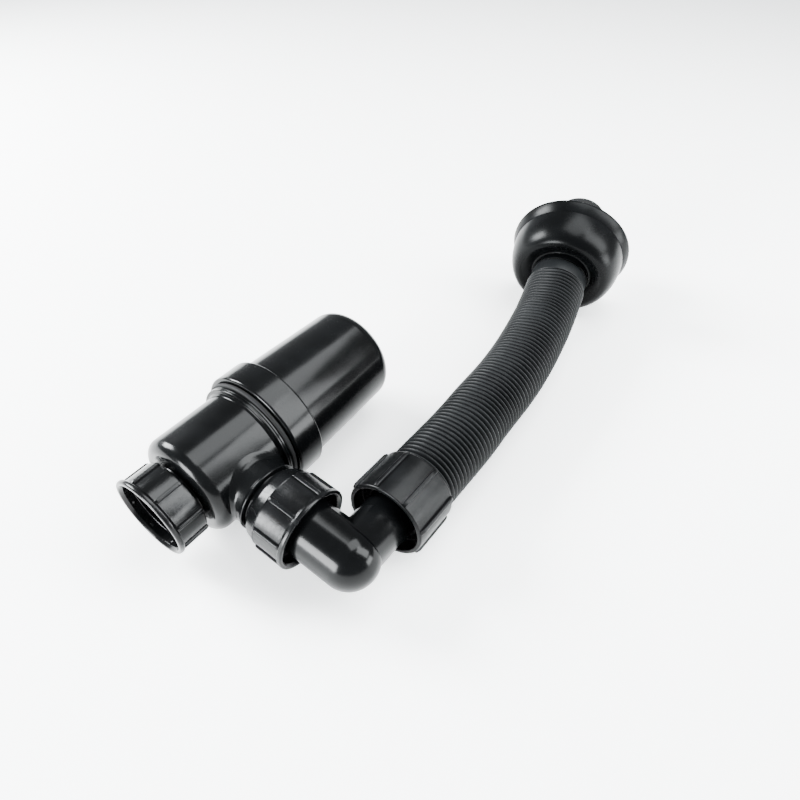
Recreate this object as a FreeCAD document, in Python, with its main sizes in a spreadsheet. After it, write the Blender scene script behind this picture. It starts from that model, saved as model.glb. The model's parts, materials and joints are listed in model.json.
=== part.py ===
import FreeCAD, Part
import Sketcher
import math
import os
import re

# Bottle trap with a swivelling elbow and a corrugated outlet hose that ends in a wall flange.
# Millimetres.  The trap lies on its side: the bottle axis runs along +X, from the inlet nut
# to the cup, and its branch points towards -Y.  Each piece is drawn on its own axis, local Z,
# and placed on the bottle axis, the branch axis, the outlet arm or the wall pipe's axis.

V = FreeCAD.Vector
doc = FreeCAD.newDocument("BottleTrap")

SIZES = {
    # bottle: X positions are counted from the branch axis
    "wall": 2.6, "body_radius": 29.4, "body_top": 25.5, "shoulder_round": 11.0,
    "neck_radius": 16.4, "neck_bore": 14.0, "neck_top": 34.4, "neck_flange_radius": 18.6,
    "neck_flange_length": 2.6, "rim_radius": 32.4, "rim_start": 19.4, "rim_end": 22.2,
    "spigot_radius": 30.3, "spigot_end": 39.0,
    # inlet nut
    "inlet_lip_top": 46.4, "inlet_lip_radius": 23.6, "inlet_lip_length": 3.0,
    "inlet_nut_radius": 21.6, "inlet_nut_base": 27.8, "inlet_thread_radius": 20.2,
    "inlet_seat_start": 38.6, "inlet_seat_radius": 19.8,
    "nut_web": 3.4, "nut_hole_radius": 16.9, "washer_length": 2.4, "washer_bore": 12.6,
    # cup
    "collar_radius": 35.7, "collar_start": 25.4, "collar_end": 43.1, "cup_radius": 32.4,
    "cup_end_radius": 30.2, "cup_end": 113.5, "cup_end_round": 9.0, "cup_bore_radius": 30.8,
    "gasket_gap": 0.35, "gasket_radius": 33.4,
    # dip tube
    "dip_radius": 13.6, "dip_bore": 12.2, "dip_end": 88.0, "dip_lip_radius": 17.2, "dip_lip_length": 1.6,
    # branch and outlet nut: positions are counted from the bottle axis
    "branch_tilt": 6.0, "boss_radius": 19.6, "boss_end": 36.4,
    "branch_radius": 16.4, "branch_bore": 13.6, "branch_end": 49.0, "branch_flange_radius": 18.6,
    "branch_flange_length": 2.6, "outlet_nut_base": 38.4, "outlet_nut_band": 46.4,
    "outlet_nut_radius": 21.8, "outlet_nut_dome_radius": 18.6, "outlet_nut_end": 66.6,
    "outlet_lip_radius": 23.2, "outlet_lip_length": 3.0, "outlet_thread_radius": 20.2,
    # elbow
    "elbow_reach": 90.2, "arm_tilt": -3.2, "elbow_radius": 16.0, "elbow_bore": 13.4,
    "arm_radius": 14.2, "arm_length": 41.0, "screw_radius": 19.6, "screw_length": 7.0,
    "screw_start": 52.4,
    # hose nut: positions are counted from the elbow's corner along the outlet arm
    "hose_nut_start": 28.0, "hose_nut_end": 57.4, "hose_nut_radius": 22.8, "hose_nut_bore": 20.4,
    "hose_nut_web_start": 47.6, "hose_nut_hole_radius": 16.9, "arm_screw_radius": 19.8,
    "arm_screw_length": 5.0,
    # hose
    "cuff_radius": 16.4, "cuff_bore": 13.6, "cuff_start": 43.6, "cuff_flange_length": 2.8,
    "cuff_flange_radius": 19.0, "cuff_collar_start": 51.4, "cuff_end": 54.5,
    "hose_radius": 21.0, "hose_bore_radius": 17.8,
    # wall flange: positions are counted back from the rim's plane along the wall pipe's axis
    "cover_radius": 43.6, "cover_edge": 2.4, "dome_radius": 40.6, "dome_start": 8.9,
    "dome_top_radius": 28.2, "dome_top": 34.2, "dish_depth": 3.6, "cover_wall": 2.2,
    "cover_neck_radius": 20.1, "cover_neck_end": 34.4, "cover_hole": 18.7,
    "pipe_radius": 16.0, "pipe_bore": 13.6, "pipe_cuff_radius": 18.1, "pipe_cuff_end": 24.0,
    "pipe_start": 44.6, "hose_gap": 0.4, "hose_lead": 25.0, "pipe_end": 38.0, "seal_radius": 20.0, "seal_start": 12.0, "seal_end": 36.0,
    # ribs
    "rib_width": 1.7, "rib_height": 1.5, "rib_count": 8, "hose_nut_rib_height": 1.5,
}


# ---------------------------------------------------------------- the sheet of driving dimensions
sheet = doc.addObject("Spreadsheet::Sheet", "Sizes")
for row, (alias, number) in enumerate(SIZES.items(), start=1):
    cell = "A%d" % row
    sheet.set(cell, str(number))
    sheet.setAlias(cell, alias)
doc.recompute()


def linked(text):
    """The expression with each alias written as Sizes.alias."""
    return re.sub(r"[a-z][a-z_]+[a-z]", lambda word: "Sizes." + word.group(0), text)


def value(text):
    """The number that an expression on the sheet gives."""
    return float(sheet.evalExpression(linked(text)))


# ---------------------------------------------------------------- frames
def frame(origin, z_axis, x_axis):
    """Placement with local Z along z_axis and local X along x_axis."""
    z_axis.normalize()
    y_axis = z_axis.cross(x_axis).normalize()
    x_axis = y_axis.cross(z_axis)
    matrix = FreeCAD.Matrix(x_axis.x, y_axis.x, z_axis.x, origin.x,
                            x_axis.y, y_axis.y, z_axis.y, origin.y,
                            x_axis.z, y_axis.z, z_axis.z, origin.z,
                            0, 0, 0, 1)
    return FreeCAD.Placement(matrix)


tilt = math.radians(SIZES["branch_tilt"])
arm = math.radians(SIZES["arm_tilt"])
trap_centre = V(0, 0, SIZES["collar_radius"])
along_bottle = V(1, 0, 0)
along_branch = V(0, -math.cos(tilt), -math.sin(tilt))
above_branch = V(0, -math.sin(tilt), math.cos(tilt))
along_arm = along_bottle * math.cos(arm) + above_branch * math.sin(arm)
elbow_corner = trap_centre + along_branch * SIZES["elbow_reach"]
flange_centre = V(299.6, -62.0, 42.8)
along_pipe = V(0.947, 0.230, 0.223).normalize()

bottle = frame(trap_centre, V(along_bottle), V(along_branch))
branch = frame(trap_centre, V(along_branch), V(along_bottle))
outlet = frame(elbow_corner, V(along_arm), V(along_branch))
wall_pipe = frame(flange_centre, V(along_pipe), V(0, 0, 1))


# ---------------------------------------------------------------- features
def new_body(label, place):
    body = doc.addObject("PartDesign::Body", label)
    body.Label = label
    body.Placement = place
    return body


def new_sketch(body, role, offset=None):
    """A sketch on one of the body's own origin planes, moved along its normal by an expression."""
    sketch = body.newObject("Sketcher::SketchObject", body.Name + "_sketch")
    plane = [item for item in body.Origin.OriginFeatures if item.Role == role][0]
    sketch.AttachmentSupport = [(plane, "")]
    sketch.MapMode = "FlatFace"
    if offset:
        sketch.setExpression("AttachmentOffset.Base.z", linked(offset))
    return sketch


def outline(sketch, points):
    """A closed outline through points, each a pair of expressions on the sheet."""
    places = [(value(across), value(along)) for across, along in points]
    count = len(points)
    for index in range(count):
        start = V(*places[index], 0)
        end = V(*places[(index + 1) % count], 0)
        sketch.addGeometry(Part.LineSegment(start, end), False)
    for index in range(count):
        sketch.addConstraint(Sketcher.Constraint("Coincident", index, 2, (index + 1) % count, 1))
    for index, (pair, place) in enumerate(zip(points, places)):
        for kind, text, number in zip(("DistanceX", "DistanceY"), pair, place):
            held = sketch.addConstraint(Sketcher.Constraint(kind, -1, 1, index, 1, number))
            sketch.setExpression("Constraints[%d]" % held, linked(text))


def turned(body, points):
    """Revolves an outline of (radius, height) pairs about the body's Z axis."""
    sketch = new_sketch(body, "XZ_Plane")
    outline(sketch, points)
    ring = body.newObject("PartDesign::Revolution", body.Name + "_turned")
    ring.Profile = sketch
    ring.ReferenceAxis = (sketch, ["V_Axis"])
    ring.Angle = 360
    doc.recompute()
    return ring


def rounded(body, rings, size):
    """Fillets the circular edges with the given (radius, height), all expressions."""
    base = body.Tip
    names = []
    for radius, height in rings:
        for number, edge in enumerate(base.Shape.Edges, start=1):
            if not isinstance(edge.Curve, Part.Circle):
                continue
            centre = edge.Curve.Center
            on_axis = math.hypot(centre.x, centre.y) < 0.01
            if on_axis and abs(edge.Curve.Radius - value(radius)) < 0.02 and abs(centre.z - value(height)) < 0.02:
                names.append("Edge%d" % number)
    if len(names) != len(rings):
        raise RuntimeError("%s: %d of %d edges found to round" % (body.Label, len(names), len(rings)))
    fillet = body.newObject("PartDesign::Fillet", body.Name + "_round")
    fillet.Base = (base, names)
    fillet.setExpression("Radius", linked(size))
    doc.recompute()
    return fillet


def ribbed(body, radius, start, end, height="rib_height"):
    """Raised grip ribs along a nut, spaced evenly round it."""
    sketch = new_sketch(body, "XY_Plane", start)
    outline(sketch, [(radius + " - 1", "-rib_width / 2"), (radius + " + " + height, "-rib_width / 2"),
                     (radius + " + " + height, "rib_width / 2"), (radius + " - 1", "rib_width / 2")])
    rib = body.newObject("PartDesign::Pad", body.Name + "_rib")
    rib.Profile = sketch
    rib.setExpression("Length", linked("(" + end + ") - (" + start + ")"))
    doc.recompute()
    ribs = body.newObject("PartDesign::PolarPattern", body.Name + "_ribs")
    ribs.Originals = [rib]
    ribs.Axis = (sketch, ["N_Axis"])
    ribs.Angle = 360
    ribs.setExpression("Occurrences", linked("rib_count"))
    body.Tip = ribs
    doc.recompute()


def ring_piece(label, place, bore, radius, start, end):
    """A plain ring between two heights on its axis."""
    body = new_body(label, place)
    turned(body, [(bore, start), (radius, start), (radius, end), (bore, end)])
    return body


def round_sketch(body, radius, offset=None):
    """A circle across the branch, at an offset along it from the bottle axis."""
    sketch = new_sketch(body, "YZ_Plane", offset)
    sketch.addGeometry(Part.Circle(V(0, 0, 0), V(0, 0, 1), value(radius)), False)
    sketch.addConstraint(Sketcher.Constraint("Coincident", 0, 3, -1, 1))
    held = sketch.addConstraint(Sketcher.Constraint("Radius", 0, value(radius)))
    sketch.setExpression("Constraints[%d]" % held, linked(radius))
    return sketch


# ---------------------------------------------------------------- trap body
def make_trap_body():
    """The bottle's shell: shoulder, rim, threaded skirt, inlet neck and side branch."""
    body = new_body("trap_body", bottle)
    turned(body, [
        ("0", "-neck_top"), ("neck_flange_radius", "-neck_top"),
        ("neck_flange_radius", "-neck_top + neck_flange_length"),
        ("neck_radius", "-neck_top + neck_flange_length"),
        ("neck_radius", "-body_top"), ("body_radius", "-body_top"), ("body_radius", "rim_start"),
        ("rim_radius", "rim_start"), ("rim_radius", "rim_end"), ("spigot_radius - 0.4", "rim_end"),
        ("spigot_radius - 0.4", "spigot_end"), ("0", "spigot_end")])
    rounded(body, [("body_radius", "-body_top")], "shoulder_round")

    boss = round_sketch(body, "boss_radius")
    pad = body.newObject("PartDesign::Pad", "branch_boss")
    pad.Profile = boss
    pad.setExpression("Length", linked("boss_end"))
    neck = round_sketch(body, "branch_radius")
    pad = body.newObject("PartDesign::Pad", "branch_neck")
    pad.Profile = neck
    pad.setExpression("Length", linked("branch_end"))
    lip = round_sketch(body, "branch_flange_radius", "branch_end - branch_flange_length")
    pad = body.newObject("PartDesign::Pad", "branch_flange")
    pad.Profile = lip
    pad.setExpression("Length", linked("branch_flange_length"))
    doc.recompute()

    hollow = new_sketch(body, "XZ_Plane")
    outline(hollow, [
        ("0", "-neck_top - 1"), ("neck_bore", "-neck_top - 1"), ("neck_bore", "-body_top + wall"),
        ("body_radius - wall - shoulder_round * 0.7", "-body_top + wall"),
        ("body_radius - wall", "-body_top + wall + shoulder_round * 0.7"),
        ("body_radius - wall", "spigot_end + 1"), ("0", "spigot_end + 1")])
    groove = body.newObject("PartDesign::Groove", "chamber")
    groove.Profile = hollow
    groove.ReferenceAxis = (hollow, ["V_Axis"])
    groove.Angle = 360
    doc.recompute()
    before = body.Shape.Volume
    bore = round_sketch(body, "branch_bore", "body_radius - wall - 8")
    pocket = body.newObject("PartDesign::Pocket", "branch_way")
    pocket.Profile = bore
    pocket.Reversed = True
    pocket.setExpression("Length", linked("branch_end - body_radius + wall + 10"))
    doc.recompute()
    if body.Shape.Volume > before - 1000:
        raise RuntimeError("the branch's bore cuts nothing")
    return body


def make_dip_tube():
    """The pipe that takes the water down into the cup, hung from the neck by its lip."""
    body = new_body("dip_tube", bottle)
    turned(body, [
        ("dip_bore", "-neck_top - dip_lip_length"), ("dip_lip_radius", "-neck_top - dip_lip_length"),
        ("dip_lip_radius", "-neck_top"), ("dip_radius", "-neck_top"), ("dip_radius", "dip_end"),
        ("dip_bore", "dip_end")])
    return body


# ---------------------------------------------------------------- nuts
def make_inlet_nut():
    body = new_body("inlet_nut", bottle)
    lip = "-inlet_lip_top + inlet_lip_length"
    inner = "-inlet_nut_base - nut_web"
    turned(body, [
        ("inlet_thread_radius", "-inlet_lip_top"), ("inlet_lip_radius", "-inlet_lip_top"),
        ("inlet_lip_radius", lip), ("inlet_nut_radius", lip), ("inlet_nut_radius", "-inlet_nut_base"),
        ("nut_hole_radius", "-inlet_nut_base"), ("nut_hole_radius", inner),
        ("inlet_seat_radius", inner), ("inlet_seat_radius", "-inlet_seat_start"),
        ("inlet_thread_radius", "-inlet_seat_start")])
    rounded(body, [("inlet_lip_radius", "-inlet_lip_top"), ("inlet_lip_radius", lip)], "1.3")
    ribbed(body, "inlet_nut_radius", lip, "-inlet_nut_base - 0.3")
    return body


def make_outlet_nut():
    body = new_body("outlet_nut", branch)
    lip = "outlet_nut_end - outlet_lip_length"
    inner = "outlet_nut_base + nut_web + 0.8"
    turned(body, [
        ("nut_hole_radius", "outlet_nut_base"), ("outlet_nut_dome_radius", "outlet_nut_base"),
        ("outlet_nut_radius", "outlet_nut_band - 3"), ("outlet_nut_radius", lip),
        ("outlet_lip_radius", lip), ("outlet_lip_radius", "outlet_nut_end"),
        ("outlet_thread_radius", "outlet_nut_end"), ("outlet_thread_radius", inner),
        ("nut_hole_radius", inner)])
    rounded(body, [("outlet_lip_radius", "outlet_nut_end"), ("outlet_lip_radius", lip)], "1.3")
    ribbed(body, "outlet_nut_radius", "outlet_nut_band", lip)
    return body


def make_hose_nut():
    body = new_body("hose_nut", outlet)
    turned(body, [
        ("hose_nut_bore", "hose_nut_start"), ("hose_nut_radius", "hose_nut_start"),
        ("hose_nut_radius", "hose_nut_end"), ("hose_radius + 0.35", "hose_nut_end"),
        ("hose_radius + 0.35", "hose_nut_web_start + nut_web"),
        ("hose_nut_hole_radius", "hose_nut_web_start + nut_web"),
        ("hose_nut_hole_radius", "hose_nut_web_start"), ("hose_nut_bore", "hose_nut_web_start")])
    rounded(body, [("hose_nut_radius", "hose_nut_start"), ("hose_nut_radius", "hose_nut_end")], "0.7")
    ribbed(body, "hose_nut_radius", "hose_nut_start + 1.2", "hose_nut_end - 1.2", "hose_nut_rib_height")
    return body


# ---------------------------------------------------------------- cup
def make_trap_cup():
    """The screw-on cup: a threaded collar and a tapering bowl."""
    body = new_body("trap_cup", bottle)
    turned(body, [
        ("cup_bore_radius", "collar_start"), ("collar_radius", "collar_start"),
        ("collar_radius", "collar_end"), ("cup_radius", "collar_end"), ("cup_end_radius", "cup_end"),
        ("0", "cup_end"), ("0", "cup_end - wall"), ("cup_end_radius - wall - 6", "cup_end - wall"),
        ("cup_end_radius - wall", "cup_end - wall - 6"), ("cup_radius - wall - 0.2", "spigot_end + 1"),
        ("cup_bore_radius", "spigot_end + 1")])
    rounded(body, [("collar_radius", "collar_start"), ("collar_radius", "collar_end")], "1.2")
    rounded(body, [("cup_end_radius", "cup_end")], "cup_end_round")
    return body


# ---------------------------------------------------------------- elbow
def cylinder(name, radius, start, end, along_x=False):
    """A cylinder on the elbow's local Z axis, or towards -X, between two distances from the corner."""
    item = doc.addObject("Part::Cylinder", name)
    item.setExpression("Radius", linked(radius))
    item.setExpression("Height", linked("(" + end + ") - (" + start + ")"))
    if along_x:
        item.Placement = FreeCAD.Placement(V(0, 0, 0), FreeCAD.Rotation(V(0, 1, 0), -90))
        item.setExpression("Placement.Base.x", linked("-(" + start + ")"))
    else:
        item.setExpression("Placement.Base.z", linked(start))
    return item


def ball(name, radius):
    item = doc.addObject("Part::Sphere", name)
    item.setExpression("Radius", linked(radius))
    return item


def make_elbow():
    """The 90 degree elbow: two arms that meet in a ball, with a screw ring on each end."""
    outside = doc.addObject("Part::MultiFuse", "elbow_outside")
    outside.Shapes = [
        ball("corner_ball", "elbow_radius"),
        cylinder("inlet_arm", "elbow_radius", "0", "elbow_reach - screw_start", True),
        cylinder("inlet_screw", "screw_radius", "elbow_reach - screw_start - screw_length",
                 "elbow_reach - screw_start", True),
        cylinder("outlet_arm", "arm_radius", "0", "arm_length"),
        cylinder("outlet_screw", "arm_screw_radius", "arm_length - arm_screw_length", "arm_length")]
    inside = doc.addObject("Part::MultiFuse", "elbow_inside")
    inside.Shapes = [
        ball("corner_hollow", "elbow_bore"),
        cylinder("inlet_bore", "elbow_bore", "0", "elbow_reach - screw_start + 1", True),
        cylinder("outlet_bore", "elbow_bore - 1.4", "0", "arm_length + 1")]
    elbow = doc.addObject("Part::Cut", "outlet_elbow")
    elbow.Base = outside
    elbow.Tool = inside
    elbow.Placement = outlet
    doc.recompute()
    return elbow


# ---------------------------------------------------------------- hose ends
def make_hose_cuff():
    """The hose's moulded end: a flange held in the hose nut, a neck and a collar for the hose."""
    body = new_body("hose_cuff", outlet)
    turned(body, [
        ("cuff_bore", "cuff_start"), ("cuff_flange_radius", "cuff_start"),
        ("cuff_flange_radius", "cuff_start + cuff_flange_length"),
        ("cuff_radius", "cuff_start + cuff_flange_length"), ("cuff_radius", "cuff_collar_start"),
        ("hose_radius - 0.4", "cuff_collar_start"), ("hose_radius - 0.4", "cuff_end"),
        ("cuff_bore", "cuff_end")])
    return body


def make_wall_pipe():
    """The hose's far end: a smooth cuff that passes through the flange, then the pipe for the wall."""
    body = new_body("wall_pipe", wall_pipe)
    turned(body, [
        ("pipe_bore", "-pipe_start"), ("pipe_cuff_radius", "-pipe_start"),
        ("pipe_cuff_radius", "-pipe_cuff_end"), ("pipe_radius", "-pipe_cuff_end"),
        ("pipe_radius", "pipe_end"), ("pipe_bore", "pipe_end")])
    return body


def make_wall_flange():
    """The domed cover against the wall: an edge, a rounded dome and a dished centre with a neck."""
    edge_radius = value("cover_radius")
    edge = value("cover_edge")
    dome = value("dome_radius")
    start = value("dome_start")
    crest_radius = value("dome_top_radius")
    crest = value("dome_top")
    wall = value("cover_wall")
    neck = value("cover_neck_radius")
    neck_end = value("cover_neck_end")
    hole = value("cover_hole")
    dish = crest - value("dish_depth")
    bend = math.sqrt(0.5)

    def dome_side(inset):
        """The bend from the skirt to the crest, drawn inset from the outside."""
        centre = V(crest_radius, 0, -start)
        across = dome - crest_radius - inset
        rise = crest - start - inset
        foot = centre + V(across, 0, 0)
        middle = centre + V(across * bend, 0, -rise * bend)
        top = centre + V(0, 0, -rise)
        return foot, middle, top

    foot, middle, top = dome_side(0)
    inner_foot, inner_middle, inner_top = dome_side(wall)
    points = [V(edge_radius - wall, 0, 0), V(edge_radius, 0, 0), V(edge_radius, 0, -edge), foot]
    edges = [Part.makeLine(a, b) for a, b in zip(points, points[1:])]
    edges.append(Part.Arc(foot, middle, top).toShape())
    points = [top, V(neck, 0, -dish), V(neck, 0, -neck_end), V(hole, 0, -neck_end),
              V(hole, 0, -dish + wall), inner_top]
    edges += [Part.makeLine(a, b) for a, b in zip(points, points[1:])]
    edges.append(Part.Arc(inner_top, inner_middle, inner_foot).toShape())
    edges.append(Part.makeLine(inner_foot, V(edge_radius - wall, 0, 0)))
    outline_wire = Part.Wire(edges)
    shell = Part.Face(outline_wire).revolve(V(0, 0, 0), V(0, 0, 1), 360)
    item = doc.addObject("Part::Feature", "wall_flange")
    item.Shape = shell
    item.Placement = wall_pipe
    return item


# ---------------------------------------------------------------- hose
def hose_route():
    """The hose's centreline points, by hand, from the cuff in the hose nut to the wall pipe."""
    start = elbow_corner + along_arm * SIZES["cuff_end"]
    end = flange_centre - along_pipe * (SIZES["pipe_start"] + SIZES["hose_gap"])
    lead = SIZES["hose_lead"]
    return [start, start + along_arm * lead, V(104.0, -89.6, 21.6), V(129.0, -88.2, 21.4),
            V(154.0, -88.4, 21.9), V(180.0, -86.6, 23.0), V(206.0, -83.0, 25.0),
            end - along_pipe * lead, end]


def bent_path(points):
    """Straight runs joined by tangent arcs, each arc as large as its two runs allow."""
    edges = []
    last = points[0]
    radii = []
    for before, corner, after in zip(points, points[1:], points[2:]):
        back = (before - corner)
        ahead = (after - corner)
        turn = math.pi - back.getAngle(ahead)
        reach = 0.45 * min(back.Length, ahead.Length)
        radius = reach / math.tan(turn / 2)
        radii.append(radius)
        back.normalize()
        ahead.normalize()
        start = corner + back * reach
        end = corner + ahead * reach
        inward = (back + ahead).normalize()
        middle = corner + inward * (radius / math.cos(turn / 2) - radius)
        edges.append(Part.makeLine(last, start))
        edges.append(Part.Arc(start, middle, end).toShape())
        last = end
    edges.append(Part.makeLine(last, points[-1]))
    print("hose radii", [round(radius) for radius in radii])
    return Part.Wire(edges)


def make_hose():
    """The corrugated hose as a plain hollow tube along its route."""
    path = bent_path(hose_route())
    start = path.Edges[0]
    direction = start.tangentAt(start.FirstParameter)
    solids = []
    for alias in ("hose_radius", "hose_bore_radius"):
        ring = Part.Wire(Part.Circle(start.Vertexes[0].Point, direction, value(alias)).toShape())
        sweep = path.makePipeShell([ring], True, False)
        solids.append(sweep)
    tube = solids[0].cut(solids[1])
    section = math.pi * (value("hose_radius") ** 2 - value("hose_bore_radius") ** 2)
    print("hose length", round(path.Length, 1), "volume ratio", round(tube.Volume / section / path.Length, 4))
    item = doc.addObject("Part::Feature", "corrugated_hose")
    item.Shape = tube
    return item


# ---------------------------------------------------------------- the assembly
make_trap_body()
make_dip_tube()
ring_piece("inlet_washer", bottle, "washer_bore", "neck_flange_radius + 0.8",
           "-neck_top - dip_lip_length - washer_length", "-neck_top - dip_lip_length")
make_inlet_nut()
ring_piece("cup_gasket", bottle, "spigot_radius", "gasket_radius",
           "rim_end + gasket_gap", "collar_start - gasket_gap")
make_trap_cup()
make_outlet_nut()
ring_piece("outlet_washer", branch, "branch_bore", "branch_flange_radius",
           "branch_end + gasket_gap", "screw_start - gasket_gap")
make_elbow()
ring_piece("hose_washer", outlet, "elbow_bore", "cuff_flange_radius",
           "arm_length + gasket_gap", "cuff_start - gasket_gap")
make_hose_nut()
make_hose_cuff()
make_hose()
make_wall_pipe()
make_wall_flange()
ring_piece("wall_seal", wall_pipe, "pipe_radius + 0.05", "seal_radius", "seal_start", "seal_end")
doc.recompute()

failed = [item.Name for item in doc.Objects if "Invalid" in item.State or "Error" in item.State]
if failed:
    raise RuntimeError("failed objects: " + ", ".join(failed))

NODES = ["trap_body", "dip_tube", "inlet_washer", "inlet_nut", "cup_gasket", "trap_cup", "outlet_nut",
         "outlet_washer", "outlet_elbow", "hose_washer", "hose_nut", "hose_cuff", "corrugated_hose",
         "wall_pipe", "wall_flange", "wall_seal"]
pieces = [doc.getObject(name) for name in NODES]

# the origin goes to the middle of the footprint, without the hose
box = FreeCAD.BoundBox()
for piece in pieces:
    if piece.Label != "corrugated_hose":
        box.add(piece.Shape.optimalBoundingBox())
shift = V(-box.Center.x, -box.Center.y, -box.ZMin)
for piece in pieces:
    piece.Placement = FreeCAD.Placement(shift, FreeCAD.Rotation()).multiply(piece.Placement)
doc.recompute()
print("shift", [round(number, 4) for number in shift])

os.makedirs("parts", exist_ok=True)
for piece in pieces:
    if piece.Shape.isNull() or not piece.Shape.isValid() or not piece.Shape.Solids:
        raise RuntimeError(piece.Label + " has no valid solid")
    piece.Shape.exportStep("parts/" + piece.Label + ".step")
    print(piece.Label, len(piece.Shape.Solids), round(piece.Shape.Volume), piece.Shape.BoundBox)
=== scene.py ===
import bpy
import bmesh
import json
import math
from mathutils import Matrix, Vector


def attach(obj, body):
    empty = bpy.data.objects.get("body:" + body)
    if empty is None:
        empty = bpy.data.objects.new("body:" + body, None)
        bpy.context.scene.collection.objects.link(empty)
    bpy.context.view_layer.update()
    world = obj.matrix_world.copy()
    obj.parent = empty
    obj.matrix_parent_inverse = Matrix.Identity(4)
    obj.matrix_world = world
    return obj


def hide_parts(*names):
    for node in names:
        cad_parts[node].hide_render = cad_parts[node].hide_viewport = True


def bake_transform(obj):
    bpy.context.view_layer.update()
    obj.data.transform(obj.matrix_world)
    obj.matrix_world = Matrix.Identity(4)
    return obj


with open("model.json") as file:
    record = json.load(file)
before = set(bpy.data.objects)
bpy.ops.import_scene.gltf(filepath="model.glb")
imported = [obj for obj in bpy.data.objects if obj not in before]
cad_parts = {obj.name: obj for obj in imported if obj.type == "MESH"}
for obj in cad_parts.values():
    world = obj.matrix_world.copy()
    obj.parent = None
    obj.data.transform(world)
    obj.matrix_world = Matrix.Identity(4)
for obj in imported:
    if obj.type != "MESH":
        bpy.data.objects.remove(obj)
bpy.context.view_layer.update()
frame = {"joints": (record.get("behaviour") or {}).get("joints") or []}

MM = 0.001
TURN = 2 * math.pi

# heights of the joints' points on their axes, and other sizes that several pieces share, in millimetres
INLET_JOINT = 37
ARM_JOINT = 50
PIPE_JOINT = 20
COLLAR_RADIUS = 35.7
ELBOW_SEAT = 52.4
HOSE_START = 54.5
HOSE_END = -45.0
HOSE_LEAD = 25.0
NUT_PITCH = 2.3
CUP_PITCH = 3.0
RIB_COUNT = 8
RIB_PHASE = TURN / 16

joints = {joint["name"]: joint for joint in frame["joints"]}


# ---------------------------------------------------------------- axes of the trap
class Axis:
    """A turned piece's own frame: heights run along it, and angle 0 points along its across."""

    def __init__(self, origin, along, across):
        self.origin = Vector(origin)
        self.along = Vector(along).normalized()
        self.side = self.along.cross(Vector(across)).normalized()
        self.across = self.side.cross(self.along)

    def at(self, height):
        return self.origin + self.along * height * MM

    def matrix(self):
        turn = Matrix((self.across, self.side, self.along)).transposed().to_4x4()
        return Matrix.Translation(self.origin) @ turn


def joint_axis(name):
    joint = joints[name]
    return Vector(joint["pos_m"]), Vector(joint["axis"])


inlet_point, to_inlet = joint_axis("inlet_nut_spin")
to_elbow = joint_axis("outlet_nut_swivel")[1]
arm_point, to_hose = joint_axis("hose_swivel")
pipe_point, to_wall = joint_axis("flange_spin")
trap_centre = inlet_point - to_inlet * INLET_JOINT * MM
elbow_corner = arm_point - to_hose * ARM_JOINT * MM
flange_centre = pipe_point + to_wall * PIPE_JOINT * MM
bottle = Axis(trap_centre, -to_inlet, to_elbow)
branch = Axis(trap_centre, to_elbow, -to_inlet)
outlet = Axis(elbow_corner, to_hose, to_elbow)
wall = Axis(flange_centre, to_wall, (0, 0, 1))
elbow_reach = (elbow_corner - trap_centre).length / MM


# ---------------------------------------------------------------- camera, lights and floor
def build_camera():
    camera_data = bpy.data.cameras.new("camera")
    camera = bpy.data.objects.new("camera", camera_data)
    bpy.context.scene.collection.objects.link(camera)
    from_trap = Vector((-0.10555, -0.1980, 0.24974))
    camera.location = trap_centre + from_trap
    heading, dip = 0.6352, 0.7887
    aim = Vector((math.cos(dip) * math.cos(heading), math.cos(dip) * math.sin(heading), -math.sin(dip)))
    camera.rotation_euler = aim.to_track_quat("-Z", "Y").to_euler()
    camera_data.sensor_width = 36
    camera_data.lens = 26.78
    camera_data.clip_start = 0.01
    bpy.context.scene.camera = camera


def soft_box(name, place, aim, size, power):
    light_data = bpy.data.lights.new(name, "AREA")
    light_data.shape = "RECTANGLE"
    light_data.size, light_data.size_y = size
    light_data.energy = power
    light_data.color = (0.95, 0.985, 1.0)
    light = bpy.data.objects.new(name, light_data)
    bpy.context.scene.collection.objects.link(light)
    light.location = place
    light.rotation_euler = (Vector(aim) - Vector(place)).to_track_quat("-Z", "Y").to_euler()
    return light


def build_studio(floor_material):
    world = bpy.data.worlds.new("studio")
    world.use_nodes = True
    sky = world.node_tree.nodes["Background"]
    sky.inputs["Color"].default_value = (0.93, 0.97, 1.0, 1)
    sky.inputs["Strength"].default_value = 0.85
    bpy.context.scene.world = world
    middle = (-0.02, 0.0, 0.03)
    soft_box("upper_softbox", (0.32, -0.10, 1.08), middle, (0.62, 0.80), 29)
    soft_box("front_softbox", (0.38, -0.76, 0.78), middle, (0.46, 0.88), 37)
    soft_box("front_card", (0.36, -1.12, 0.18), middle, (0.50, 0.32), 18)
    soft_box("left_card", (-1.12, 0.20, 0.27), (-0.14, -0.05, 0.03), (0.42, 0.46), 60)
    soft_box("back_key", (-0.30, 1.10, 0.70), middle, (0.50, 0.50), 100)
    mesh = bpy.data.meshes.new("floor")
    reach = 3.0
    corners = [(-reach, -reach, 0), (reach, -reach, 0), (reach, reach, 0), (-reach, reach, 0)]
    mesh.from_pydata(corners, [], [(0, 1, 2, 3)])
    mesh.materials.append(floor_material)
    floor = bpy.data.objects.new("floor", mesh)
    bpy.context.scene.collection.objects.link(floor)


# ---------------------------------------------------------------- shader maths
class Wire:
    """A socket in a material's tree; arithmetic on it adds Math nodes."""

    def __init__(self, finish, socket):
        self.finish = finish
        self.socket = socket

    def _math(self, operation, *values):
        return self.finish.node("ShaderNodeMath", {"operation": operation}, dict(enumerate(values)))

    def __add__(self, other):
        return self._math("ADD", self, other)

    def __mul__(self, other):
        return self._math("MULTIPLY", self, other)

    __radd__ = __add__
    __rmul__ = __mul__


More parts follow.
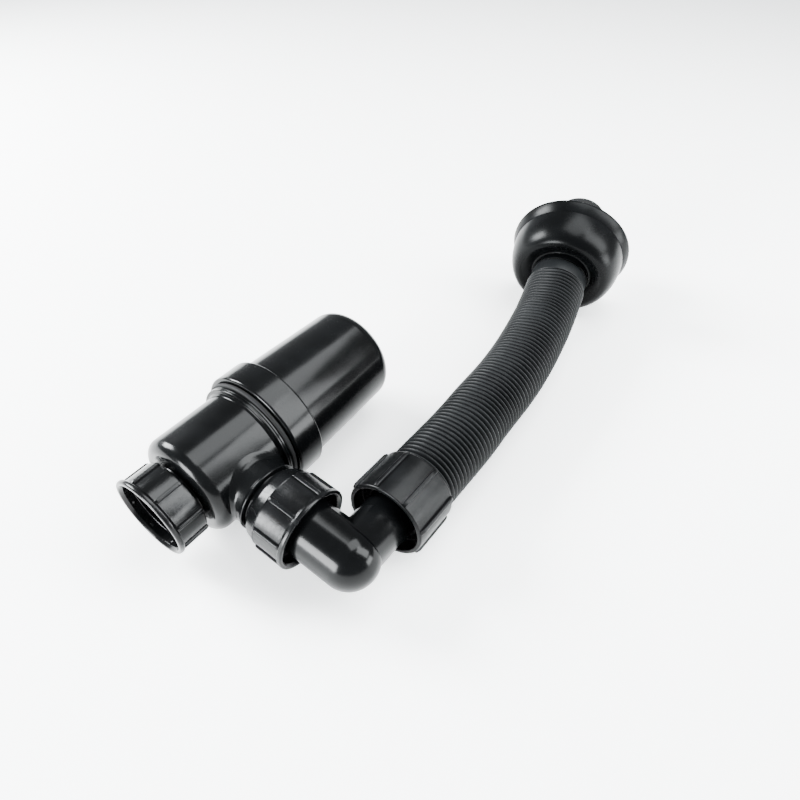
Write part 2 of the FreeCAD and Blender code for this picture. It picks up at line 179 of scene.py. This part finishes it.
class Finish:
    """A procedural material under construction."""

    def __init__(self, name):
        self.material = bpy.data.materials.new(name)
        self.material.use_nodes = True
        self.tree = self.material.node_tree
        self.shader = self.tree.nodes["Principled BSDF"]

    def node(self, kind, settings=None, values=None, output=0):
        item = self.tree.nodes.new(kind)
        for key, setting in (settings or {}).items():
            if key == "stops":
                ramp = item.color_ramp
                while len(ramp.elements) < len(setting):
                    ramp.elements.new(0.5)
                for element, (position, level) in zip(ramp.elements, setting):
                    element.position = position
                    element.color = (level, level, level, 1)
            else:
                setattr(item, key, setting)
        for key, setting in (values or {}).items():
            socket = item.inputs[key]
            if isinstance(setting, Wire):
                self.tree.links.new(setting.socket, socket)
            else:
                socket.default_value = setting
        return Wire(self, item.outputs[output])

    def set(self, **values):
        for key, setting in values.items():
            socket = self.shader.inputs[key.replace("_", " ").title().replace("Ior", "IOR")]
            if isinstance(setting, Wire):
                self.tree.links.new(setting.socket, socket)
            else:
                socket.default_value = setting

    def place(self, scale=(1, 1, 1), axis=None):
        """Object coordinates, turned so that Z runs along an axis, and scaled."""
        source = self.node("ShaderNodeTexCoord", output=3)
        if axis is None:
            return self.node("ShaderNodeMapping", {}, {0: source, "Scale": scale})
        inverse = axis.matrix().inverted()
        return self.node("ShaderNodeMapping", {}, {
            0: self.node("ShaderNodeMapping", {}, {
                0: source, "Location": inverse.to_translation(), "Rotation": inverse.to_euler()}),
            "Scale": scale})

    def noise(self, where, scale, detail=3.0, rough=0.55):
        return self.node("ShaderNodeTexNoise", {}, {"Vector": where, "Scale": scale, "Detail": detail,
                                                    "Roughness": rough})

    def ramp(self, factor, *stops):
        return self.node("ShaderNodeValToRGB", {"stops": stops}, {0: factor})

    def bump(self, height, strength, distance, base=None):
        values = {"Height": height, "Strength": strength, "Distance": distance}
        if base is not None:
            values["Normal"] = base
        return self.node("ShaderNodeBump", {}, values)

    def colour(self, factor, dark, light):
        """The colour between two, by a factor."""
        mixed = self.tree.nodes.new("ShaderNodeMix")
        mixed.data_type = "RGBA"
        self.tree.links.new(factor.socket, mixed.inputs["Factor"])
        mixed.inputs[6].default_value = (*dark, 1)
        mixed.inputs[7].default_value = (*light, 1)
        return Wire(self, mixed.outputs[2])


def moulded_black(name, gloss, dull=0.0):
    """Glossy injection-moulded polypropylene: a slow sink ripple, faint haze and handling specks."""
    finish = Finish(name)
    where = finish.place()
    haze = finish.ramp(finish.noise(where, 38, 4), (0.38, 0), (0.72, 1))
    specks = finish.ramp(finish.noise(where, 900, 1), (0.70, 0), (0.76, 1))
    ripple = finish.noise(where, 55, 1)
    skin = finish.noise(where, 1500, 2)
    finish.set(base_color=finish.colour(haze, (0.0008, 0.0009, 0.0010), (0.0018, 0.0020, 0.0022)),
               roughness=haze * 0.06 + specks * 0.08 + (0.165 + dull),
               specular_ior_level=gloss)
    finish.set(normal=finish.bump(ripple, 0.10, 0.0012, finish.bump(skin, 0.05, 0.00006)))
    return finish.material


def nut_black(name, axis, gloss, dull=0.0):
    """Moulded nut plastic with the fine draw marks that the mould leaves along the axis."""
    finish = Finish(name)
    where = finish.place()
    drawn = finish.place((1, 1, 0.06), axis)
    marks = finish.noise(drawn, 1400, 3, 0.7)
    haze = finish.ramp(finish.noise(where, 60, 4), (0.40, 0), (0.70, 1))
    scuffs = finish.ramp(finish.noise(finish.place((1, 1, 0.25), axis), 260, 2), (0.60, 0), (0.70, 1))
    finish.set(base_color=finish.colour(haze, (0.0010, 0.0011, 0.0012), (0.0024, 0.0026, 0.0029)),
               roughness=marks * 0.14 + haze * 0.08 + scuffs * 0.10 + (0.12 + dull),
               specular_ior_level=gloss)
    finish.set(normal=finish.bump(marks, 0.30, 0.00012, finish.bump(haze, 0.08, 0.0010)))
    return finish.material


def hose_black():
    """Satin flexible plastic, slightly dusty in random patches."""
    finish = Finish("hose_black")
    where = finish.place()
    grain = finish.noise(where, 1600, 3)
    bloom = finish.ramp(finish.noise(where, 30, 4), (0.35, 0), (0.75, 1))
    finish.set(base_color=finish.colour(bloom, (0.0022, 0.0025, 0.0028), (0.0040, 0.0046, 0.0050)),
               roughness=bloom * 0.08 + grain * 0.03 + 0.38,
               specular_ior_level=0.10)
    finish.set(normal=finish.bump(grain, 0.06, 0.00008))
    return finish.material


def seal_rubber():
    """Matt black rubber with a fine grain."""
    finish = Finish("seal_rubber")
    where = finish.place()
    grain = finish.noise(where, 2200, 3)
    bloom = finish.ramp(finish.noise(where, 80, 3), (0.4, 0), (0.7, 1))
    finish.set(base_color=finish.colour(bloom, (0.003, 0.003, 0.003), (0.006, 0.006, 0.0065)),
               roughness=bloom * 0.12 + 0.60, specular_ior_level=0.12)
    finish.set(normal=finish.bump(grain, 0.25, 0.00012))
    return finish.material


def floor_paper():
    finish = Finish("floor_paper")
    fibre = finish.noise(finish.place(), 40, 2)
    finish.set(base_color=finish.colour(fibre, (0.92, 0.915, 0.905), (0.94, 0.935, 0.925)),
               roughness=0.75, specular_ior_level=0.2,
               emission_color=(0.93, 0.97, 1.0, 1), emission_strength=0.7)
    return finish.material


# ---------------------------------------------------------------- turned pieces
def soften(corners, closed=True, steps=6):
    """Rounds the corners of an outline of (radius, height, rounding) in millimetres."""
    outline = []
    count = len(corners)
    for index, (radius, height, rounding) in enumerate(corners):
        here = Vector((radius, height))
        at_end = not closed and index in (0, count - 1)
        if at_end or rounding <= 0:
            outline.append(here)
            continue
        back = Vector(corners[index - 1][:2]) - here
        ahead = Vector(corners[(index + 1) % count][:2]) - here
        turn = math.pi - back.angle(ahead)
        if turn < 0.02:
            outline.append(here)
            continue
        reach = rounding * math.tan(turn / 2)
        reach = min(reach, 0.49 * back.length, 0.49 * ahead.length)
        size = reach / math.tan(turn / 2)
        start = here + back.normalized() * reach
        inward = (back.normalized() + ahead.normalized()).normalized()
        centre = here + inward * (size / math.cos(turn / 2))
        spoke = start - centre
        sense = 1 if back.x * ahead.y - back.y * ahead.x < 0 else -1
        pieces = max(2, int(steps * turn * 2 / math.pi + 1))
        for step in range(pieces + 1):
            swing = sense * turn * step / pieces
            outline.append(centre + Vector((spoke.x * math.cos(swing) - spoke.y * math.sin(swing),
                                            spoke.x * math.sin(swing) + spoke.y * math.cos(swing))))
    return outline


def finish_mesh(name, mesh, material, sharp=38):
    """Outward faces, smooth shading and one material; returns the piece's object."""
    shell = bmesh.new()
    shell.from_mesh(mesh)
    bmesh.ops.remove_doubles(shell, verts=shell.verts, dist=1e-6)
    bmesh.ops.recalc_face_normals(shell, faces=shell.faces)
    shell.to_mesh(mesh)
    shell.free()
    mesh.materials.clear()
    mesh.materials.append(material)
    mesh.shade_smooth()
    mesh.set_sharp_from_angle(angle=math.radians(sharp))
    piece = bpy.data.objects.new(name, mesh)
    bpy.context.scene.collection.objects.link(piece)
    return piece


def turned_mesh(name, outline, axis, segments=160):
    """A closed ring of the outline about an axis; points at radius 0 close it at a pole."""
    place = axis.matrix()
    points = []
    faces = []
    rings = []
    for radius, height in outline:
        if radius < 1e-6:
            rings.append([len(points)])
            points.append(place @ Vector((0, 0, height * MM)))
            continue
        rings.append(list(range(len(points), len(points) + segments)))
        for step in range(segments):
            angle = TURN * step / segments
            spot = Vector((radius * math.cos(angle), radius * math.sin(angle), height))
            points.append(place @ (spot * MM))
    for low, high in zip(rings, rings[1:] + rings[:1]):
        if len(low) == 1 and len(high) == 1:
            continue
        for step in range(segments):
            after = (step + 1) % segments
            if len(low) == 1:
                faces.append((low[0], high[after], high[step]))
            elif len(high) == 1:
                faces.append((low[step], low[after], high[0]))
            else:
                faces.append((low[step], low[after], high[after], high[step]))
    mesh = bpy.data.meshes.new(name)
    mesh.from_pydata(points, [], faces)
    return mesh


def turned(name, corners, axis, material, steps=6, segments=160, sharp=38):
    mesh = turned_mesh(name, soften(corners, True, steps), axis, segments)
    return finish_mesh(name, mesh, material, sharp)


def join(name, pieces):
    """One object from several, all already in place."""
    shell = bmesh.new()
    for piece in pieces:
        shell.from_mesh(piece.data)
    first = pieces[0]
    shell.to_mesh(first.data)
    shell.free()
    for piece in pieces[1:]:
        bpy.data.objects.remove(piece)
    first.name = name
    first.data.name = name
    return first


# ---------------------------------------------------------------- geometry nodes
class Tree:
    """A Geometry Nodes tree with named inputs, built one node at a time."""

    def __init__(self, name, sizes):
        self.group = bpy.data.node_groups.new(name, "GeometryNodeTree")
        self.group.interface.new_socket("Geometry", in_out="INPUT", socket_type="NodeSocketGeometry")
        self.sockets = {}
        for key, kind in sizes.items():
            made = self.group.interface.new_socket(key, in_out="INPUT", socket_type="NodeSocket" + kind)
            self.sockets[key] = made.identifier
        self.group.interface.new_socket("Geometry", in_out="OUTPUT", socket_type="NodeSocketGeometry")
        self.entry = self.group.nodes.new("NodeGroupInput")
        self.exit = self.group.nodes.new("NodeGroupOutput")

    def input(self, key):
        return self.entry.outputs[key]

    def node(self, kind, settings=None, values=None, output=0):
        item = self.group.nodes.new(kind)
        for key, setting in (settings or {}).items():
            setattr(item, key, setting)
        for key, setting in (values or {}).items():
            socket = item.inputs[key]
            if isinstance(setting, bpy.types.NodeSocket):
                self.group.links.new(setting, socket)
            else:
                socket.default_value = setting
        return item.outputs[output]

    def math(self, operation, *values):
        return self.node("ShaderNodeMath", {"operation": operation}, dict(enumerate(values)))

    def vector(self, x=0.0, y=0.0, z=0.0):
        return self.node("ShaderNodeCombineXYZ", {}, {"X": x, "Y": y, "Z": z})

    def close(self, geometry):
        """Ends the tree: instances made real, smooth and given their material."""
        real = self.node("GeometryNodeRealizeInstances", {}, {"Geometry": geometry})
        smooth = self.node("GeometryNodeSetShadeSmooth", {}, {"Geometry": real})
        painted = self.node("GeometryNodeSetMaterial", {}, {
            "Geometry": smooth, "Material": self.input("Material")})
        self.group.links.new(painted, self.exit.inputs[0])
        return self


def grown(name, tree, sizes, carrier=None):
    """Runs a tree on a carrier and returns the plain mesh it makes."""
    if carrier is None:
        carrier = bpy.data.objects.new(name + "_carrier", bpy.data.meshes.new(name + "_carrier"))
        bpy.context.scene.collection.objects.link(carrier)
    modifier = carrier.modifiers.new("grow", "NODES")
    modifier.node_group = tree.group
    for key, size in sizes.items():
        modifier[tree.sockets[key]] = size
    graph = bpy.context.evaluated_depsgraph_get()
    mesh = bpy.data.meshes.new_from_object(carrier.evaluated_get(graph), depsgraph=graph)
    carrier.modifiers.remove(modifier)
    bpy.data.objects.remove(carrier)
    return mesh


def rib_tree():
    """Square-shouldered grip ribs standing on a cylinder, evenly spaced."""
    tree = Tree("grip_ribs", {
        "Count": "Int", "Radius": "Float", "Width": "Float", "Height": "Float",
        "Start": "Float", "Length": "Float", "Phase": "Float", "Material": "Material"})
    bar = tree.node("GeometryNodeMeshCylinder", {}, {
        "Vertices": 20, "Side Segments": 16, "Radius": 1.0, "Depth": 1.0})
    place = tree.node("GeometryNodeInputPosition")
    x, y, z = (tree.node("ShaderNodeSeparateXYZ", {}, {0: place}, index) for index in range(3))

    def squared(value):
        return tree.math("MULTIPLY", tree.math("SIGN", value),
                         tree.math("POWER", tree.math("ABSOLUTE", value), 0.45))

    # the bar's ends slope down towards the nut over about the last tenth
    end = tree.math("SUBTRACT", 1.0, tree.math("MULTIPLY", tree.math("ABSOLUTE", z), 2.0))
    slope = tree.math("MINIMUM", tree.math("MULTIPLY", end, 9.0), 1.0)
    rise = tree.math("ADD", 0.55, tree.math("MULTIPLY", slope, 0.45))
    sideways = tree.math("MULTIPLY", squared(y), tree.math("MULTIPLY", tree.input("Width"), 0.5))
    lift = tree.math("MULTIPLY", tree.math("MULTIPLY", squared(x), rise), tree.input("Height"))
    outward = tree.math("ADD", tree.input("Radius"), lift)
    along = tree.math("ADD", tree.input("Start"),
                      tree.math("MULTIPLY", tree.math("ADD", z, 0.5), tree.input("Length")))
    shaped = tree.node("GeometryNodeSetPosition", {}, {
        "Geometry": bar, "Position": tree.vector(outward, sideways, along)})
    spots = tree.node("GeometryNodePoints", {}, {"Count": tree.input("Count")})
    index = tree.node("GeometryNodeInputIndex")
    angle = tree.math("ADD", tree.input("Phase"),
                      tree.math("DIVIDE", tree.math("MULTIPLY", index, TURN), tree.input("Count")))
    ribs = tree.node("GeometryNodeInstanceOnPoints", {}, {
        "Points": spots, "Instance": shaped, "Rotation": tree.vector(0.0, 0.0, angle)})
    return tree.close(ribs)


def thread_tree():
    """A helical ridge of round section, on the inside or the outside of a cylinder."""
    tree = Tree("helical_thread", {
        "Radius": "Float", "Pitch": "Float", "Turns": "Float", "Start": "Float", "Depth": "Float",
        "Material": "Material"})
    helix = tree.node("GeometryNodeCurveSpiral", {}, {
        "Resolution": 96, "Rotations": tree.input("Turns"), "Start Radius": tree.input("Radius"),
        "End Radius": tree.input("Radius"),
        "Height": tree.math("MULTIPLY", tree.input("Turns"), tree.input("Pitch"))})
    run = tree.node("GeometryNodeSplineParameter", output=0)
    nearest_end = tree.math("MINIMUM", run, tree.math("SUBTRACT", 1.0, run))
    fade = tree.math("MINIMUM", tree.math("MULTIPLY", nearest_end, 30.0), 1.0)
    section = tree.node("GeometryNodeCurvePrimitiveCircle", {}, {
        "Resolution": 8, "Radius": tree.input("Depth")})
    ridge = tree.node("GeometryNodeCurveToMesh", {}, {
        "Curve": helix, "Profile Curve": section,
        "Scale": tree.math("ADD", 0.25, tree.math("MULTIPLY", fade, 0.75)), "Fill Caps": True})
    moved = tree.node("GeometryNodeTransform", {}, {
        "Geometry": ridge, "Translation": tree.vector(0.0, 0.0, tree.input("Start"))})
    return tree.close(moved)


def corrugation_tree():
    """A tube of rounded rings along a curve, each a raised cosine with a plumped crest."""
    tree = Tree("corrugation", {"Rings": "Int", "Crest": "Float", "Valley": "Float", "Samples": "Int",
                                "Material": "Material"})
    steps = tree.math("MULTIPLY", tree.input("Rings"), tree.input("Samples"))
    line = tree.node("GeometryNodeResampleCurve", {}, {
        "Curve": tree.entry.outputs[0], "Count": tree.math("ADD", steps, 1.0)})
    run = tree.node("GeometryNodeSplineParameter", output=0)
    phase = tree.math("MULTIPLY", tree.math("MULTIPLY", run, tree.input("Rings")), TURN)
    wave = tree.math("MULTIPLY", tree.math("SUBTRACT", 1.0, tree.math("COSINE", phase)), 0.5)
    plump = tree.math("POWER", wave, 0.62)
    depth = tree.math("SUBTRACT", tree.input("Crest"), tree.input("Valley"))
    radius = tree.math("ADD", tree.input("Valley"), tree.math("MULTIPLY", plump, depth))
    section = tree.node("GeometryNodeCurvePrimitiveCircle", {}, {"Resolution": 96, "Radius": 1.0})
    tube = tree.node("GeometryNodeCurveToMesh", {}, {
        "Curve": line, "Profile Curve": section, "Scale": radius, "Fill Caps": True})
    return tree.close(tube)


def placed(mesh, axis):
    """Moves a mesh drawn on local Z onto an axis."""
    mesh.transform(axis.matrix())
    return mesh


RIBS = rib_tree()
THREAD = thread_tree()
CORRUGATION = corrugation_tree()


def ribs(name, axis, material, radius, start, end, width, height):
    mesh = grown(name, RIBS, {
        "Count": RIB_COUNT, "Radius": radius * MM, "Width": width * MM, "Height": height * MM,
        "Start": start * MM, "Length": (end - start) * MM, "Phase": RIB_PHASE, "Material": material})
    return finish_mesh(name, placed(mesh, axis), material, 50)


def thread(name, axis, material, radius, start, end, pitch, depth):
    mesh = grown(name, THREAD, {
        "Radius": radius * MM, "Pitch": pitch * MM, "Turns": (end - start) / pitch,
        "Start": start * MM, "Depth": depth * MM, "Material": material})
    return finish_mesh(name, placed(mesh, axis), material, 50)


# ---------------------------------------------------------------- materials
BLACK = moulded_black("moulded_black", 0.10)
COVER = moulded_black("cover_black", 0.05, 0.09)
HOSE = hose_black()
RUBBER = seal_rubber()
INLET_NUT = nut_black("inlet_nut_black", bottle, 0.14)
OUTLET_NUT = nut_black("outlet_nut_black", branch, 0.14)
HOSE_NUT = nut_black("hose_nut_black", outlet, 0.08, 0.12)


# ---------------------------------------------------------------- bottle
BODY_RADIUS = 29.4
BODY_TOP = -25.5
SHOULDER = 11.0
NECK_END = -34.4


def body_surface(height):
    """The bottle's outer radius at a height, shoulder included."""
    bend = BODY_TOP + SHOULDER
    if height >= bend:
        return BODY_RADIUS
    drop = min(bend - height, SHOULDER)
    return BODY_RADIUS - SHOULDER + math.sqrt(max(SHOULDER ** 2 - drop ** 2, 0))


def branch_boss():
    """The side branch, with a fillet that follows the bottle's round wall."""
    root, fillet, segments = 18.4, 3.2, 160
    sunk = 0.12
    rows = []
    for step in range(9):
        sweep = step / 8 * math.pi / 2
        rows.append((root + fillet * (1 - math.sin(sweep)),
                     fillet * (1 - math.cos(sweep)) - sunk, True))
    upper = soften([
        (root, 31.0, 0), (root, 34.2, 0.8), (19.4, 35.4, 0.8), (19.4, 36.4, 0.6), (16.4, 36.6, 0.4),
        (16.4, 46.4, 0), (18.6, 46.4, 0.3), (18.6, 49.0, 0.3), (13.6, 49.0, 0.3),
        (13.6, 24.0, 0)], False)
    rows += [(point[0], point[1], False) for point in upper]
    place = branch.matrix()
    points = []
    faces = []
    for radius, height, on_wall in rows:
        for step in range(segments):
            angle = TURN * step / segments
            across, side = radius * math.cos(angle), radius * math.sin(angle)
            lift = height
            if on_wall:
                lift += math.sqrt(max(body_surface(across) ** 2 - side ** 2, 1.0))
            points.append(place @ Vector((across * MM, side * MM, lift * MM)))
    for row in range(len(rows) - 1):
        for step in range(segments):
            low, high = row * segments, (row + 1) * segments
            after = (step + 1) % segments
            faces.append((low + step, low + after, high + after, high + step))
    mesh = bpy.data.meshes.new("branch_boss")
    mesh.from_pydata(points, [], faces)
    return finish_mesh("branch_boss", mesh, BLACK, 40)


def build_body():
    shell = turned("trap_shell", [
        (14.0, NECK_END, 0.3), (18.6, NECK_END, 0.4), (18.6, NECK_END + 2.6, 0.3),
        (16.4, NECK_END + 2.6, 0.3),
        (16.4, BODY_TOP, 0.6), (BODY_RADIUS, BODY_TOP, SHOULDER), (BODY_RADIUS, 18.2, 0.8),
        (30.5, 19.4, 0.5), (32.4, 19.4, 0.5), (32.4, 20.6, 0.35), (31.9, 20.8, 0.2), (32.4, 21.0, 0.2),
        (32.4, 22.2, 0.4), (29.9, 22.2, 0.3), (29.9, 39.0, 0.4), (26.8, 39.0, 0.3),
        (26.8, BODY_TOP + 10, 6.0), (19.0, BODY_TOP + 2.6, 1.0), (14.0, BODY_TOP + 2.6, 0.5)],
        bottle, BLACK, steps=14, segments=220)
    ridge = thread("trap_thread", bottle, BLACK, 29.8, 25.4, 37.0, CUP_PITCH, 0.38)
    body = join("trap_shell", [shell, branch_boss(), ridge])
    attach(body, "trap")
    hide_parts("trap_body")

    tube = turned("dip_pipe", [
        (12.2, NECK_END - 1.6, 0.3), (17.2, NECK_END - 1.6, 0.5), (17.2, NECK_END - 0.02, 0.3),
        (13.6, NECK_END - 0.02, 0.2), (13.6, 86.0, 0), (13.3, 88.0, 0.4), (12.2, 88.0, 0.3)],
        bottle, BLACK)
    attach(tube, "trap")
    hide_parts("dip_tube")

    washer = turned("inlet_seal", [
        (12.6, NECK_END - 4.0, 0.5), (19.4, NECK_END - 4.0, 0.7), (19.4, NECK_END - 1.62, 0.5),
        (12.6, NECK_END - 1.62, 0.3)], bottle, RUBBER)
    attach(washer, "trap")
    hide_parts("inlet_washer")


def build_cup():
    cup = turned("bottle_cup", [
        (30.8, 25.4, 0.5), (35.7, 25.4, 1.5), (35.7, 42.3, 1.3), (34.4, 43.1, 0.8), (32.4, 43.3, 1.0),
        (30.2, 113.5, 9.0), (0, 113.5, 0), (0, 110.9, 0), (27.4, 110.9, 6.5), (29.4, 40.0, 0.5),
        (30.8, 39.6, 0.5)], bottle, BLACK, steps=16, segments=220)
    gate = turned("cup_gate", [(0, 113.3, 0), (1.7, 113.3, 0), (1.7, 113.85, 0.3), (0, 113.85, 0)],
                  bottle, BLACK, segments=32)
    cup = join("bottle_cup", [cup, gate])
    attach(cup, "cup")
    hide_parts("trap_cup")
    gasket = turned("cup_seal", [
        (30.3, 22.55, 0.4), (33.4, 22.55, 0.8), (33.4, 25.05, 0.8), (30.3, 25.05, 0.4)], bottle, RUBBER)
    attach(gasket, "cup_thread")
    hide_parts("cup_gasket")


# ---------------------------------------------------------------- nuts
def build_nut(name, body, node, axis, material, corners, rib, ridge):
    shell = turned(name, corners, axis, material, steps=8, segments=200)
    nut = join(name, [shell, ribs(name + "_ribs", axis, material, *rib),
                      thread(name + "_thread", axis, material, *ridge)])
    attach(nut, body)
    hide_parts(node)
    return nut


def build_nuts():
    build_nut("inlet_union_nut", "inlet_nut", "inlet_nut", bottle, INLET_NUT, [
        (16.9, -27.8, 0.4), (21.2, -27.8, 0.9), (21.6, -30.0, 0), (21.6, -43.2, 0.8),
        (23.6, -43.8, 1.1), (23.6, -46.4, 1.2), (21.4, -46.4, 0.8), (20.3, -44.6, 0.3),
        (20.3, -31.2, 0.4), (16.9, -31.2, 0.3)],
        (21.5, -44.0, -28.0, 2.2, 1.5), (20.3, -41.4, -32.4, NUT_PITCH, 0.55))
    build_nut("outlet_union_nut", "outlet_nut", "outlet_nut", branch, OUTLET_NUT, [
        (16.9, 38.4, 0.3), (18.4, 38.4, 0.8), (20.6, 41.2, 3.0), (21.9, 46.2, 0.5), (22.2, 46.6, 0.2),
        (21.9, 47.0, 0.2), (21.9, 63.4, 0.8), (23.3, 64.0, 1.1), (23.3, 66.6, 1.2), (21.4, 66.6, 0.8),
        (20.3, 65.0, 0.3), (20.3, 42.6, 0.4), (16.9, 42.6, 0.3)],
        (21.8, 46.8, 64.2, 2.2, 1.5), (20.3, 51.0, 60.0, NUT_PITCH, 0.5))
    build_nut("hose_union_nut", "hose_nut", "hose_nut", outlet, HOSE_NUT, [
        (20.4, 28.0, 0.5), (22.8, 28.0, 0.9), (22.8, 57.4, 0.7), (21.4, 57.4, 0.4), (21.4, 51.0, 0.3),
        (16.9, 51.0, 0.3), (16.9, 47.6, 0.3), (20.4, 47.6, 0.3)],
        (22.8, 28.8, 56.8, 2.4, 1.5), (20.4, 34.6, 45.6, NUT_PITCH, 0.4))


# ---------------------------------------------------------------- elbow
def cut_and_join(first, others, operation):
    """Applies one exact Boolean operation per other solid and returns the first one's new mesh."""
    for other in others:
        step = first.modifiers.new("step", "BOOLEAN")
        step.solver = "EXACT"
        step.operation = operation
        step.object = other
    graph = bpy.context.evaluated_depsgraph_get()
    mesh = bpy.data.meshes.new_from_object(first.evaluated_get(graph), depsgraph=graph)
    first.modifiers.clear()
    first.data = mesh
    for other in others:
        bpy.data.objects.remove(other)
    return first


def sphere_outline(radius, steps=40):
    return [(radius * math.sin(math.pi * step / steps), -radius * math.cos(math.pi * step / steps))
            for step in range(steps + 1)]


def build_elbow():
    towards_trap = Axis(elbow_corner, -to_elbow, to_hose)
    reach = elbow_reach - ELBOW_SEAT

    def solid(name, axis, corners):
        return finish_mesh(name, turned_mesh(name, soften(corners), axis, 144), BLACK)

    ball = turned_mesh("outlet_bend", sphere_outline(16.05), outlet, 144)
    outside = finish_mesh("outlet_bend", ball, BLACK)
    inlet_arm = solid("inlet_arm", towards_trap, [
        (0, 0, 0), (16.0, 0, 0), (16.0, reach - 7.0, 0.6), (19.6, reach - 7.0, 0.6), (19.6, reach, 0.5),
        (0, reach, 0)])
    outlet_arm = solid("outlet_arm", outlet, [
        (0, 0, 0), (14.2, 0, 0), (14.2, 36.0, 0.6), (19.8, 36.0, 0.6), (19.8, 41.0, 0.5), (0, 41.0, 0)])
    seam = solid("arm_seam", outlet, [
        (0, 33.9, 0), (14.7, 33.9, 0.25), (14.7, 35.1, 0.25), (0, 35.1, 0)])
    outside = cut_and_join(outside, [inlet_arm, outlet_arm, seam], "UNION")
    hollow = finish_mesh("hollow", turned_mesh("hollow", sphere_outline(13.4), outlet, 96), BLACK)
    inlet_bore = solid("inlet_bore", towards_trap, [
        (0, 0, 0), (13.4, 0, 0), (13.4, reach + 1, 0), (0, reach + 1, 0)])
    outlet_bore = solid("outlet_bore", outlet, [(0, 0, 0), (12.0, 0, 0), (12.0, 42.0, 0), (0, 42.0, 0)])
    bend = cut_and_join(outside, [hollow, inlet_bore, outlet_bore], "DIFFERENCE")
    mesh = bend.data
    bpy.data.objects.remove(bend)
    bend = finish_mesh("outlet_bend", mesh, BLACK, 40)
    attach(bend, "elbow")
    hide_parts("outlet_elbow")

    for name, axis, body, node, corners in (
            ("outlet_seal", branch, "elbow_thread", "outlet_washer",
             [(13.6, 49.35, 0.4), (18.6, 49.35, 0.6), (18.6, 52.05, 0.6), (13.6, 52.05, 0.4)]),
            ("hose_seal", outlet, "hose_nut_thread", "hose_washer",
             [(13.4, 41.35, 0.3), (19.0, 41.35, 0.5), (19.0, 43.25, 0.5), (13.4, 43.25, 0.3)])):
        washer = turned(name, corners, axis, RUBBER)
        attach(washer, body)
        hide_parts(node)


# ---------------------------------------------------------------- hose
def trap_point(x, y, z):
    """A point counted from the floor under the bottle's own axis, in millimetres."""
    return trap_centre + Vector((x, y, z - COLLAR_RADIUS)) * MM


def build_hose():
    cuff = turned("hose_end_cuff", [
        (13.6, 43.6, 0.4), (19.0, 43.6, 0.5), (19.0, 46.4, 0.5), (16.4, 46.4, 0.4), (16.4, 51.4, 0.4),
        (20.6, 51.4, 0.3), (20.6, 54.5, 0.3), (13.6, 54.5, 0.3)], outlet, HOSE)
    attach(cuff, "hose_start")
    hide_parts("hose_cuff")

    start = outlet.at(HOSE_START)
    end = wall.at(HOSE_END)
    route = [start, outlet.at(HOSE_START + HOSE_LEAD),
             trap_point(104.0, -89.6, 21.6), trap_point(129.0, -88.2, 21.4),
             trap_point(154.0, -88.4, 21.9), trap_point(180.0, -86.6, 23.0),
             trap_point(206.0, -83.0, 25.0), wall.at(HOSE_END - HOSE_LEAD), end]
    curve = bpy.data.curves.new("hose_line", "CURVE")
    curve.dimensions = "3D"
    curve.resolution_u = 24
    spline = curve.splines.new("NURBS")
    spline.points.add(len(route) - 1)
    for point, place in zip(spline.points, route):
        point.co = (*place, 1)
    spline.order_u = 3
    spline.use_endpoint_u = True
    carrier = bpy.data.objects.new("hose_line", curve)
    bpy.context.scene.collection.objects.link(carrier)
    mesh = grown("ringed_hose", CORRUGATION, {
        "Rings": 64, "Crest": 21.0 * MM, "Valley": 18.9 * MM, "Samples": 8, "Material": HOSE}, carrier)
    hose = finish_mesh("ringed_hose", mesh, HOSE, 60)
    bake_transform(hose)
    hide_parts("corrugated_hose")


# ---------------------------------------------------------------- wall end
def build_wall_end():
    pipe = turned("wall_end_pipe", [
        (13.6, -44.6, 0.4), (20.2, -44.6, 0.6), (20.2, -35.0, 0.6), (18.1, -35.0, 0.3),
        (18.1, -24.0, 0.5), (16.0, -24.0, 0.4),
        (16.0, 38.0, 0.6), (13.6, 38.0, 0.5)], wall, HOSE)
    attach(pipe, "hose_end")
    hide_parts("wall_pipe")

    # the dome's side bends over from the skirt to the crest as a quarter of an ellipse
    dome = [(30.6 + 10.0 * math.cos(angle), -8.9 - 24.9 * math.sin(angle))
            for angle in (math.radians(82 * step / 28) for step in range(29))]
    crest = soften([(*dome[-1], 0), (29.8, -34.2, 2.4), (21.6, -29.0, 2.5), (20.3, -29.6, 0.6),
                    (20.1, -34.4, 0.35), (18.7, -34.4, 0.35), (18.7, -27.0, 0.3),
                    (24.9, -29.0, 2.0), (37.6, -8.9, 9.0),
                    (41.4, 0, 0.3), (43.6, 0, 0.5), (43.6, -2.0, 0.7), (40.9, -8.6, 0.5)], False, 10)
    outline = dome + [tuple(point) for point in crest[1:-1]] + [tuple(crest[-1])]
    flange = finish_mesh("wall_cover", turned_mesh("wall_cover", outline, wall, 256), COVER, 34)
    gate = Axis(wall.at(-30.6) + (wall.across * 24.6 - wall.side * 1.0) * MM, -to_wall, wall.across)
    mark = turned("gate_mark", [(0, -0.6, 0), (1.1, -0.6, 0), (1.1, 0.7, 0.4), (0, 0.9, 0)],
                  gate, COVER, segments=24)
    flange = join("wall_cover", [flange, mark])
    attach(flange, "flange")
    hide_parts("wall_flange")

    plug = turned("wall_plug", [
        (16.08, 12.0, 0.4), (19.2, 12.0, 0.6), (20.0, 14.5, 0.5), (18.9, 16.5, 0.4), (20.0, 19.5, 0.5),
        (18.9, 21.5, 0.4), (20.0, 24.5, 0.5), (18.9, 26.5, 0.4), (20.0, 29.5, 0.8), (20.0, 33.0, 2.5),
        (18.4, 36.0, 1.2), (16.08, 36.0, 0.4)], wall, RUBBER)
    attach(plug, "seal")
    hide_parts("wall_seal")


build_camera()
build_studio(floor_paper())
build_body()
build_cup()
build_nuts()
build_elbow()
build_hose()
build_wall_end()

bpy.context.view_layer.update()
